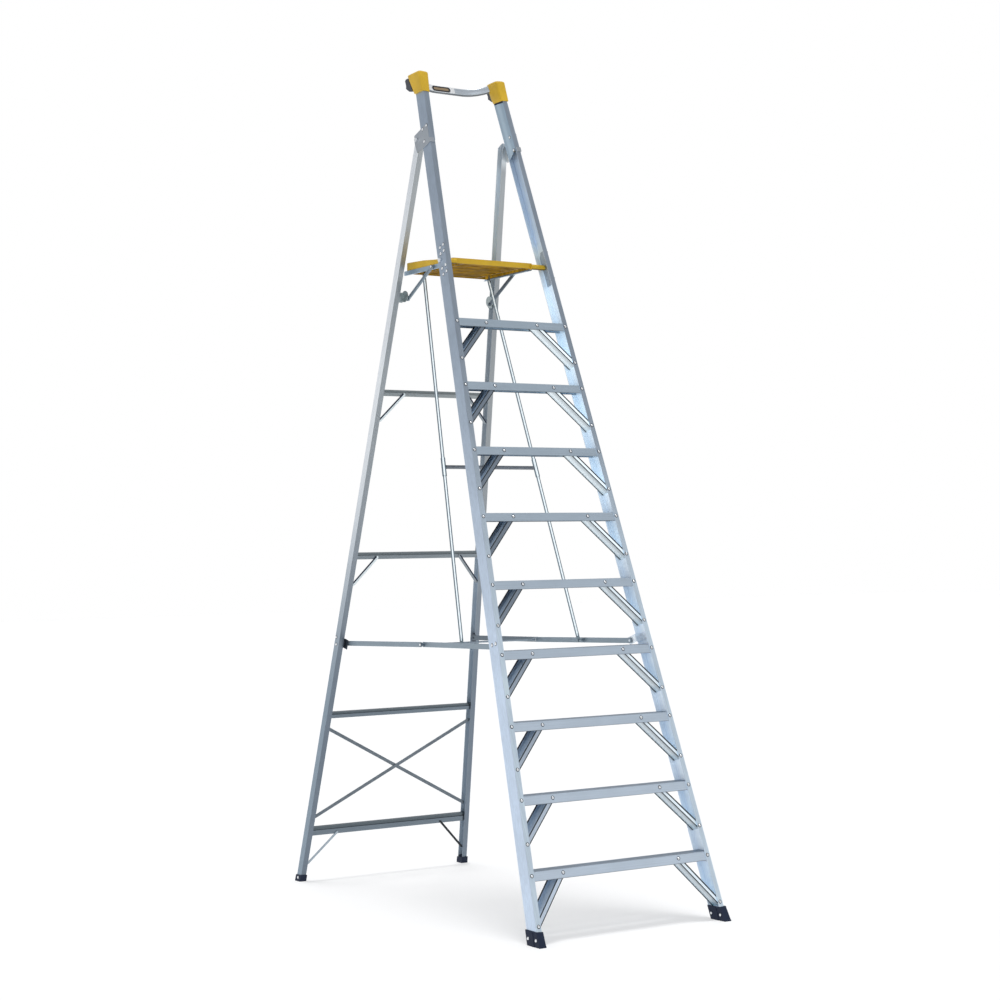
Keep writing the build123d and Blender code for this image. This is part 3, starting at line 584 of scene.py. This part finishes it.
# A dark finish for painted shade: the shadow ring round rivet heads and the inside of the rail's hole.
SHADE_DISC = moulded("painted shade disc", (0.03, 0.035, 0.045), rough=0.6, specular=0.1)
CROSS_BAR = galvanised("dark flat bar", (0.17, 0.20, 0.23))
ROD_BAR = galvanised("cross bar", (0.20, 0.22, 0.25))
# Straps: darker towards the floor and on the right-hand side, painted shade.
STRAP = drawn_metal("flat strap", ((0.40, 0.47, 0.53), (0.80, 0.88, 0.90)), REAR_ALONG, ACROSS, heights=(0.3, 1.2),
                    zones=[(right_hand, (0.02, 0.025, 0.03), (0.30, 0.34, 0.37), 0.6)], metallic=0.5)

for entry in frame["record"]["subparts"]:
    node = nodes[entry["node"]]
    own = [look for name, look in NODE_LOOKS.items() if entry["node"].startswith(name)]
    node.data.materials.clear()
    node.data.materials.append(own[0] if own else LOOKS[entry["material_slot"]])


# Ways to make a piece

SHARP = math.radians(35)
ASKEW = (0.31, 0.87, 0.38)
HANDS = (("right", 1), ("left", -1))


def piece(name, vertices, faces, body, slot, look=None):
    """New mesh object at the origin, on a body, in a slot's finish or a look of its own."""
    mesh = bpy.data.meshes.new(name)
    mesh.from_pydata(np.concatenate(vertices).tolist(), [], faces)
    skin = bmesh.new()
    skin.from_mesh(mesh)
    bmesh.ops.recalc_face_normals(skin, faces=skin.faces)
    skin.to_mesh(mesh)
    skin.free()
    mesh.materials.append(look or LOOKS[slot])
    mesh.polygons.foreach_set("use_smooth", np.ones(len(faces), bool))
    mesh.set_sharp_from_angle(angle=SHARP)
    made = bpy.data.objects.new(name, mesh)
    bpy.context.scene.collection.objects.link(made)
    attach(made, body)
    return made


def grid_faces(rows, columns, start=0):
    """Quads of a grid of rows by columns, joined round the columns, and the two flat ends."""
    row, column = np.meshgrid(np.arange(rows - 1) * columns, np.arange(columns), indexing="ij")
    a, b = start + row + column, start + row + (column + 1) % columns
    sides = np.stack((a, b, b + columns, a + columns), axis=-1).reshape(-1, 4).tolist()
    near, far = np.arange(columns) + start, np.arange(columns) + start + (rows - 1) * columns
    return sides + [near[::-1].tolist(), far.tolist()]


def lathes(name, places, profile, body, slot, sides=14, look=None):
    """Turned pieces, one at each (point, axis): a profile of (radius, height) turned about the axis.

    Vertex (i, j) = point + h_i axis + r_i (cos(2 pi j / n) a + sin(2 pi j / n) b), a and b square to the axis.
    """
    turn = 2 * np.pi * np.arange(sides) / sides
    radius, height = np.array(profile).T[:, :, None, None]
    vertices, faces = [], []
    for index, (point, axis) in enumerate(places):
        axis = np.asarray(axis, float) / np.linalg.norm(axis)
        a = np.cross(axis, ASKEW)
        a /= np.linalg.norm(a)
        b = np.cross(axis, a)
        ring = np.outer(np.cos(turn), a) + np.outer(np.sin(turn), b)
        vertices.append((point + height * axis + radius * ring).reshape(-1, 3))
        faces += grid_faces(len(profile), sides, index * len(profile) * sides)
    return piece(name, vertices, faces, body, slot, look=look)


def plates(name, outlines, place, thick, body, slot, look=None):
    """Flat plates, one for each outline of (a, b) points, set by place(a, b, depth) and thick in depth."""
    vertices, faces = [], []
    for outline in outlines:
        faces += grid_faces(2, len(outline), sum(map(len, vertices)))
        vertices.append(np.concatenate([place(*outline.T, depth) for depth in (0.0, thick)]))
    return piece(name, vertices, faces, body, slot, look=look)


def stadium(length, height, count=20):
    """Outline of a bar with round ends, as (s, h): a half circle of radius H / 2 at each end."""
    turn = np.linspace(-np.pi / 2, np.pi / 2, count // 2)
    half, r = length / 2 - height / 2, height / 2
    right = np.stack((half + r * np.cos(turn), r * np.sin(turn)), axis=1)
    return np.concatenate((right, -right))


def both_sides(places):
    """Each (point, axis) and its mirror image in the middle plane."""
    flip = np.array((-1.0, 1.0, 1.0))
    return [(p * s, np.asarray(a) * s) for p, a in places for s in (np.ones(3), flip)]


# Rivets

# Sizes as (radius, height); the depth that heads sink in; the width of a dark ring of painted shadow round a head, and
# its top's, as factors of the radius
TREAD_RIVET, WEB_RIVET, INNER_RIVET = (0.0057, 0.0034), (0.0066, 0.0034), (0.0060, 0.0030)
JOINT_BOLT, STRUT_BOLT = (0.0062, 0.0030), (0.0066, 0.0030)
SUNK, SHADE_RING_WIDER, TREAD_SHADE_RING_WIDER, SHADE_RING_TOP = 0.0003, 1.3, 1.45, 1.02


def dome(radius, height, rim=0.25, narrow=0.97, flat=1.35, steps=5):
    """Rivet head profile: a low rim of height k H, then r = n R cos t, h = H (k + (1 - k) sin t) up to a small flat."""
    t = np.linspace(0.0, flat, steps)[1:]
    head = np.stack((radius * narrow * np.cos(t), height * (rim + (1 - rim) * np.sin(t))), axis=1)
    return np.concatenate(([(radius, -SUNK), (radius, rim * height)], head))


def rivets(name, places, size, body, wider=SHADE_RING_WIDER):
    """Domed rivet heads, each on a thin dark disc that is wider than the head by a factor and paints the shadow round
    it.
    """
    lathes(name, places, dome(*size), body, "bolt_steel")
    radius = size[0]
    # Painted shadow: a dark ring round each head.
    shade_ring = [(radius * wider, -SUNK), (radius * wider, SUNK), (radius * SHADE_RING_TOP, 2 * SUNK)]
    lathes(name + "_seats", places, shade_ring, body, "bolt_steel", look=SHADE_DISC)


def tread_rivets():
    """Rivets through the stiles' flanges, the aprons and the braces' lower ends, front and rear.

    A brace's rear leg stands higher across it than its front one, so its rear rivets move along the apron and up.
    """
    places = []
    skews_up, skews_in = 1.55, 1.3
    edge, taper = FRONT_HALF - RIVET_IN, math.tan(FRONT_TAPER)
    for index in range(TREADS):
        high = (TREAD_FIRST + index * TREAD_RISE - RIVET_DROP) / CF
        low = high - (BRACE_DROP if index else FIRST_BRACE_DROP) / CF
        for rear, axis in ((0, -FRONT_BACK), (1, FRONT_BACK)):
            flange = STILE_DEPTH * rear
            apron = APRON_FACE + (STILE_DEPTH - 2 * APRON_FACE) * rear
            foot = low + skews_up * BRACE_SKEW * rear
            reach = BRACE_REACH - skews_in * BRACE_SKEW * rear
            places.append((on_front(edge - high * taper, flange, high), axis))
            places.append((on_front(edge - high * taper - reach, apron, high), axis))
            places.append((on_front(edge - foot * taper, flange, foot), axis))
    return both_sides(places)


# Places in the stiles' webs, plates, boots and feet: (out from the web's face, back, height)
WEB_RIVETS = [(0.0, 0.009, 2.893), (0.0, 0.0375, 2.883), (0.0, 0.010, 2.865), (0.0, 0.040, 2.854),
              (0.0, 0.0106, 2.799), (0.0, 0.0434, 2.787), (0.0, 0.009, 2.771), (0.0, 0.039, 2.760),
              (0.0, 0.0448, 1.157), (0.0, 0.0164, 1.163),
              (0.00305, 0.0119, 3.460), (0.00305, 0.0482, 3.4485), (0.00305, 0.0471, 3.3896),
              (0.0039, 0.0607, 0.0263), (0.0039, 0.0054, 0.0261)]
INNER_RIVETS = [(-0.0267, 0.0176, 3.452), (-0.0267, 0.0129, 3.388),
                (-0.0272, 0.0607, 0.0263), (-0.0272, 0.0054, 0.0261)]
REAR_RIVETS = [(0.0, 0.032, 1.166), (0.0, 0.021, 1.132), (0.0035, 0.020, 0.018)]
rivets("tread_rivets", tread_rivets(), TREAD_RIVET, "front_frame", TREAD_SHADE_RING_WIDER)
rivets("web_rivets", both_sides([(on_web(*place), WEB_OUT) for place in WEB_RIVETS]), WEB_RIVET, "front_frame")
rivets("inner_rivets", both_sides([(on_web(*place), -WEB_OUT) for place in INNER_RIVETS]), INNER_RIVET, "front_frame")
rivets("rear_rivets", both_sides([(on_rear_web(*place), REAR_WEB_OUT) for place in REAR_RIVETS]), WEB_RIVET,
       "rear_frame")


# Straps and crossed bars of the rear frame

# A bar is (start, end, width), its ends (across, height); then thickness, distances behind the frame's face, and the
# width of a dark line of painted shadow along a strap's upper edge
STRAPS = (((0.174, 2.2825), (0.284, 2.165), 0.015), ((0.226, 1.533), (0.336, 1.410), 0.016),
          ((0.287, 0.223), (0.427, 0.084), 0.0105))
CROSS_START, CROSS_END, CROSS_WIDE = (0.384, 0.727), (-0.410, 0.308), 0.016
BAR_THICK = 0.003
STRAP_BACK, SHADOW_LINE_BACK, CROSS_BACKS = 0.0060, 0.0050, (0.010, 0.0131)
SHADOW_LINE_WIDE = 0.0058


def bar_outline(start, end, wide):
    """Round-ended bar between two points of the rear frame, given as (across, height)."""
    start, end = (np.array((u, z / CR)) for u, z in (start, end))
    along = (end - start) / np.linalg.norm(end - start)
    shape = stadium(np.linalg.norm(end - start) + wide, wide)
    return (start + end) / 2 + np.outer(shape[:, 0], along) + np.outer(shape[:, 1], (-along[1], along[0]))


def shadow_line_outline(start, end, wide):
    """Narrow dark bar of painted shadow along a strap's upper edge: the strap's line moved up by half its width less
    half the bar's.
    """
    start, end = np.array(start), np.array(end)
    along = (end - start) / np.linalg.norm(end - start)
    up = np.array((-along[1], along[0])) * math.copysign((wide - SHADOW_LINE_WIDE) / 2, along[0])
    return bar_outline(start + up, end + up, SHADOW_LINE_WIDE)


def paired(bars):
    """Each bar and its mirror image in the middle plane."""
    return [((m * a, b), (m * c, d), wide) for (a, b), (c, d), wide in bars for m in (1, -1)]


def rear_plates(name, outlines, back, look):
    """Flat bars of the rear frame, their front faces at a distance behind the frame's."""
    return plates(name, outlines, lambda u, along, d: on_rear(u, back + d, along), BAR_THICK, "rear_frame",
                  "galvanised_steel", look)


straps = rear_plates("knee_straps_drawn", [bar_outline(*bar) for bar in paired(STRAPS)], STRAP_BACK, STRAP)
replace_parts(straps, "rear_knee_straps")
# Painted shadow: dark bars along the upper edges of the two upper straps on each side.
rear_plates("knee_strap_shadow_lines", [shadow_line_outline(*bar) for bar in paired(STRAPS[:2])], SHADOW_LINE_BACK, LOOKS["black_rubber"])
cross = paired([(CROSS_START, CROSS_END, CROSS_WIDE)])
for name, bar, back in zip(("front", "back"), cross, CROSS_BACKS):
    made = rear_plates("cross_bar_" + name, [bar_outline(*bar)], back, CROSS_BAR)
    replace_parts(made, "cross_brace_" + name)


# Top rail with its bare label

# Level along the slope, middle of the bow behind the front face, bends and section
RAIL_LEVEL = 3.911
RAIL_BACK = 0.1304
RAIL_STRAIGHT = 0.066
RAIL_BEND = 0.163
RAIL_TURN = 0.96
RAIL_THICK = 0.018
RAIL_TALL = 0.034

# Layers of the bare label: length, height, middle along the rail and colour, each a step proud of the last
LABEL = (("plate", 0.165, 0.0305, -0.055, (0.78, 0.80, 0.82)), ("field", 0.101, 0.0262, -0.045, (0.02, 0.02, 0.024)),
         ("stripe", 0.082, 0.0120, -0.045, (0.30, 0.22, 0.13)))
LABEL_STEP = 0.0004

# Hole in the rail: place (along, height), two distances proud on its axis, radius and half thickness of its disc, which
# is dark, painted shade in the hole
HOLE_AT, HOLE_IN, HOLE_OUT, HOLE_RADIUS, HOLE_DISC = (0.168, -0.004), -0.0014, 0.01, 0.0028, 0.0002


def on_rail_front(s, height, proud):
    """Point of the rail's front face, s along it from the middle of the bow and proud of the face.

    Beyond the straight run, f = (|s| - S) / R is the angle round the bend, whose normal is (-sin f, -cos f).
    """
    f = np.maximum(np.abs(s) - RAIL_STRAIGHT, 0.0) / RAIL_BEND
    off = RAIL_THICK / 2 + proud
    u = np.sign(s) * (np.minimum(np.abs(s), RAIL_STRAIGHT) + RAIL_BEND * np.sin(f) - off * np.sin(f))
    return on_front(u, RAIL_BACK - RAIL_BEND * (1 - np.cos(f)) - off * np.cos(f), RAIL_LEVEL + height)


def rail_section(corner=0.006, groove=0.010, deep=0.0011, steps=5):
    """Closed section of the rail as (height, proud): a rounded rectangle with a groove in its front face."""
    turn = np.linspace(0, np.pi / 2, steps)
    high, back = RAIL_TALL / 2 - corner, RAIL_THICK - corner
    top = np.stack((high + corner * np.sin(turn), -corner + corner * np.cos(turn)), axis=1)
    far = np.stack((high + corner * np.cos(turn), -back - corner * np.sin(turn)), axis=1)
    step = np.array([(groove * 0.5, -deep), (groove, 0.0)])
    half = np.concatenate((step, top, far))
    return np.concatenate((half, (half * (-1, 1))[::-1]))


def along_rail(name, s, height, proud, look=None):
    """A closed section carried along the rail's front face; height and proud have a row for each place s."""
    vertices = on_rail_front(s[:, None] + 0 * height, height, proud).reshape(-1, 3)
    return piece(name, [vertices], grid_faces(*height.shape), "front_frame", "rail_aluminium", look)


def bowed_rail(rows=72):
    """The rail's section carried from cap to cap."""
    reach = RAIL_STRAIGHT + RAIL_TURN * RAIL_BEND
    s = np.linspace(-reach, reach, rows)
    return along_rail("bowed_rail", s, *(column + 0 * s[:, None] for column in rail_section().T))


def label_layer(index, name, length, tall, middle, colour, rows=41):
    """One layer of the label: half height h = H / 2 sqrt(1 - x^2), where x rises from 0 to nearly 1 over each end.

    The plate's ends are square, so its x stays 0.
    """
    nearly = 0.995
    end = np.linspace(-1.0, 1.0, rows) * length / 2
    x = np.clip((np.abs(end) - length / 2 + tall / 2) / (tall / 2), 0.0, nearly) * (name != "plate")
    half = tall / 2 * np.sqrt(1 - x ** 2)
    low, high = index * LABEL_STEP, (index + 1) * LABEL_STEP
    proud = 0 * half[:, None] + (low, low, high, high)
    along_rail("label_" + name, middle + end, np.outer(half, (-1, 1, 1, -1)), proud,
               moulded("label " + name, colour, rough=0.5, fade=0.03))


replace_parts(bowed_rail(), "top_rail")
for index, layer in enumerate(LABEL):
    label_layer(index, *layer)
hole = on_rail_front(*HOLE_AT, HOLE_IN)
# Painted shade: a dark disc where the hole is.
lathes("rail_hole", [(hole, on_rail_front(*HOLE_AT, HOLE_OUT) - hole)],
       [(HOLE_RADIUS, -HOLE_DISC), (HOLE_RADIUS, HOLE_DISC)], "front_frame", "rail_aluminium", look=SHADE_DISC)


# Moulded caps with soft edges, flared to the back

# Heights, rounding of the edge and of the outline; then distances at the lower edge and their growth to the top
CAP_LOW, CAP_HIGH, CAP_EDGE, CAP_ROUND = 3.628, 3.7276, 0.010, 0.30
CAP_FRONT, CAP_BACK = (-0.0035, -0.002), (0.0745, 0.0315)
CAP_INNER, CAP_OUTER = (-0.0335, -0.0035), (0.0095, 0.0055)

# How far the inner side has drawn in at some distances back
CAP_DRAW = ((0.04, 0.078, 0.106), (0.0, 0.005, 0.0267))

# Dark plate of painted shadow in the gap under a cap: its place in from the web, thickness, and its corners as (back,
# height)
GAP_IN, GAP_THICK = 0.0252, 0.002
GAP = np.array([(0.0015, 3.6205), (0.066, 3.6205), (0.066, 3.640), (0.0015, 3.640)])


def cap_shell(columns=56):
    """Right-hand cap as rows of points round it, from its lower edge to its top.

    Round the cap, (x, y) = (sign(cos a) |cos a|^p, sign(sin a) |sin a|^p) with p = CAP_ROUND; a row's x runs from its
    inner side to its outer one and y from its front to its back, and the inner side draws in towards the back. Near
    the top, rows draw in by r (1 - cos q) as they rise by r sin q.
    """
    lip_tall, lip_inset, wall, below_edge, top_inset = 0.002, 0.0015, 5, 0.004, 1.5
    q = np.linspace(0.0, np.pi / 2, 7)
    shoulder = CAP_HIGH - CAP_EDGE
    level = np.concatenate(((CAP_LOW, CAP_LOW + lip_tall),
                            np.linspace(CAP_LOW + CAP_EDGE, shoulder - below_edge, wall),
                            shoulder + CAP_EDGE * np.sin(q), (CAP_HIGH,)))
    inset = np.concatenate(((lip_inset,), np.zeros(wall + 1), CAP_EDGE * (1 - np.cos(q)), (CAP_EDGE * top_inset,)))
    flare = (level - CAP_LOW) / (CAP_HIGH - CAP_LOW)
    front, back, inner, outer = (at + growth * flare for at, growth in (CAP_FRONT, CAP_BACK, CAP_INNER, CAP_OUTER))
    front, back, inner, outer = (v[:, None] for v in (front + inset, back - inset, inner + inset, outer - inset))
    turn = 2 * np.pi * np.arange(columns) / columns
    x, y = (np.sign(v) * np.abs(v) ** CAP_ROUND for v in (np.cos(turn), np.sin(turn)))
    depth = front + (back - front) * (y + 1) / 2
    inner = inner + np.interp(depth, *CAP_DRAW)
    return on_web(inner + (outer - inner) * (x + 1) / 2, depth, level[:, None] + 0 * depth)


cap = cap_shell()
for name, side in HANDS:
    made = piece("soft_cap_" + name, [cap.reshape(-1, 3) * (side, 1, 1)], grid_faces(*cap.shape[:2]), "front_frame",
                 "yellow_moulding")
    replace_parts(made, "cap_" + name)
# Painted shadow: a dark plate in the gap under each cap.
for name, side in HANDS:
    plates("cap_gap_" + name, [GAP], lambda back, high, d: on_web(-GAP_IN - d, back, high) * (side, 1, 1), GAP_THICK,
           "front_frame", "black_rubber")


# Spreader bars round the links' own, the bolts of the moving joints, and the tube round the rods' cross bar

LINK_BAR, LINK_OVER = 0.0228, 0.0004
FRONT_LINK = ((0.347, *LINK_FRONT), (0.296, *LINK_JOINT))
REAR_LINK = ((0.346, *LINK_REAR), (0.309, *LINK_JOINT))
JOINT_OUTER, JOINT_INNER = np.array((0.3135, *LINK_JOINT)), np.array((0.2943, *LINK_JOINT))
WASHER = [(0.0086, 0.0), (0.0086, 0.0024), (0.0074, 0.0030)]
STRUT_TOP = np.array((0.2255, 0.07053, 2.826))
TUBE_RADIUS, TUBE_SHORT = 0.0085, 0.011


def link_bars(name, start, end, body):
    """A pair of flat bars with round ends between two points (x, y, z) and their mirror images."""
    start, end = np.array(start), np.array(end)
    along = (end - start) / np.linalg.norm(end - start)
    side = np.cross(along, UP)
    side /= np.linalg.norm(side)
    up = np.cross(side, along)
    thick = LINK_THICK + LINK_OVER
    shape = stadium(np.linalg.norm(end - start) + LINK_BAR, LINK_BAR)
    for hand, mirror in HANDS:
        plates(name + "_" + hand, [shape],
               lambda a, b, d: ((start + end) / 2 + spread(a, along) + spread(b, up) + (d - thick / 2) * side)
               * (mirror, 1, 1), thick, body, "link_steel")


link_bars("front_link_bar", *FRONT_LINK, "front_links")
link_bars("rear_link_bar", *REAR_LINK, "rear_links")
rivets("joint_bolts_outer", both_sides([(JOINT_OUTER, ACROSS)]), JOINT_BOLT, "rear_links")
lathes("joint_washers", both_sides([(JOINT_INNER, -ACROSS)]), WASHER, "front_links", "bolt_steel", sides=20)
rivets("strut_bolts", both_sides([(STRUT_TOP, ACROSS)]), STRUT_BOLT, "platform")
half_tube = CROSSBAR[0] - TUBE_SHORT
lathes("crossbar_tube", [(np.array((-half_tube, *CROSSBAR[1:])), ACROSS)],
       [(TUBE_RADIUS, 0.0), (TUBE_RADIUS, 2 * half_tube)], "rods", "rod_steel", sides=20, look=ROD_BAR)


# Camera, light and floor

WHITE, SKY, HORIZON = (1.0, 1.0, 1.0), (0.55, 0.56, 0.58), (-0.02, 0.28)
IMAGE_WIDTH, SENSOR = 1000.0, 36.0
FLOOR_HALF = 60


def set_camera():
    """Camera at the photograph's viewing angle, from yaw, pitch, roll and a focal length in pixels."""
    yaw, pitch, roll, focal = -0.55999, 0.03577, -0.02245, 1949.7
    place = Vector((-4.59109, -6.37286 - MIDDLE_Y, 1.46407))
    forward = Vector((-math.sin(yaw) * math.cos(pitch), math.cos(yaw) * math.cos(pitch), math.sin(pitch)))
    right = Vector((math.cos(yaw), math.sin(yaw), 0.0))
    up = right.cross(forward)
    rolled_right = right * math.cos(roll) + up * math.sin(roll)
    rolled_up = -right * math.sin(roll) + up * math.cos(roll)
    data = bpy.data.cameras.new("camera")
    data.sensor_width = SENSOR
    data.lens = SENSOR * focal / IMAGE_WIDTH
    data.clip_end = 200.0
    camera = bpy.data.objects.new("camera", data)
    bpy.context.scene.collection.objects.link(camera)
    camera.matrix_world = Matrix.Translation(place) @ Matrix((rolled_right, rolled_up, -forward)).transposed().to_4x4()
    bpy.context.scene.camera = camera


def studio():
    """White surround for the camera; what lights the metal is bright round the horizon and dimmer overhead."""
    world = bpy.data.worlds.new("studio")
    bpy.context.scene.world = world
    world.use_nodes = True
    tree = world.node_tree
    tree.nodes.clear()
    direction = add(tree, "ShaderNodeTexCoord", "Generated", {})
    height = add(tree, "ShaderNodeSeparateXYZ", "Z", {"Vector": direction})
    lit = add(tree, "ShaderNodeBackground", 0, {"Color": height.between(*HORIZON).mix(WHITE, SKY)})
    seen = add(tree, "ShaderNodeBackground", 0, {"Color": WHITE})
    ray = add(tree, "ShaderNodeLightPath", "Is Camera Ray", {})
    both = add(tree, "ShaderNodeMixShader", 0, {0: ray, 1: lit, 2: seen})
    plug(tree, tree.nodes.new("ShaderNodeOutputWorld").inputs["Surface"], both)


def sun_light(direction, strength, softness):
    """Soft distant light that shines along a direction."""
    data = bpy.data.lights.new("sun", "SUN")
    data.energy = strength
    data.angle = math.radians(softness)
    light = bpy.data.objects.new("sun", data)
    bpy.context.scene.collection.objects.link(light)
    light.rotation_euler = Vector(direction).to_track_quat("-Z", "Y").to_euler()


def pale_floor():
    """Plain floor, lit a little from itself so that the shadow on it stays light."""
    material, _, put = finish("floor", metallic=0.0, specular=0.2)
    put(Base_Color=(0.46, 0.46, 0.46), Roughness=0.8, Emission_Color=WHITE, Emission_Strength=0.48)
    mesh = bpy.data.meshes.new("floor")
    corners = np.array([(-1, -1, 0), (1, -1, 0), (1, 1, 0), (-1, 1, 0)]) * FLOOR_HALF
    mesh.from_pydata(corners.tolist(), [], [(0, 1, 2, 3)])
    mesh.materials.append(material)
    made = bpy.data.objects.new("floor", mesh)
    bpy.context.scene.collection.objects.link(made)
    return made


set_camera()
studio()
bpy.context.scene.view_settings.view_transform = "Standard"
sun_light((0.0, 0.0, -1.0), strength=1.9, softness=16.0)
floor = pale_floor()
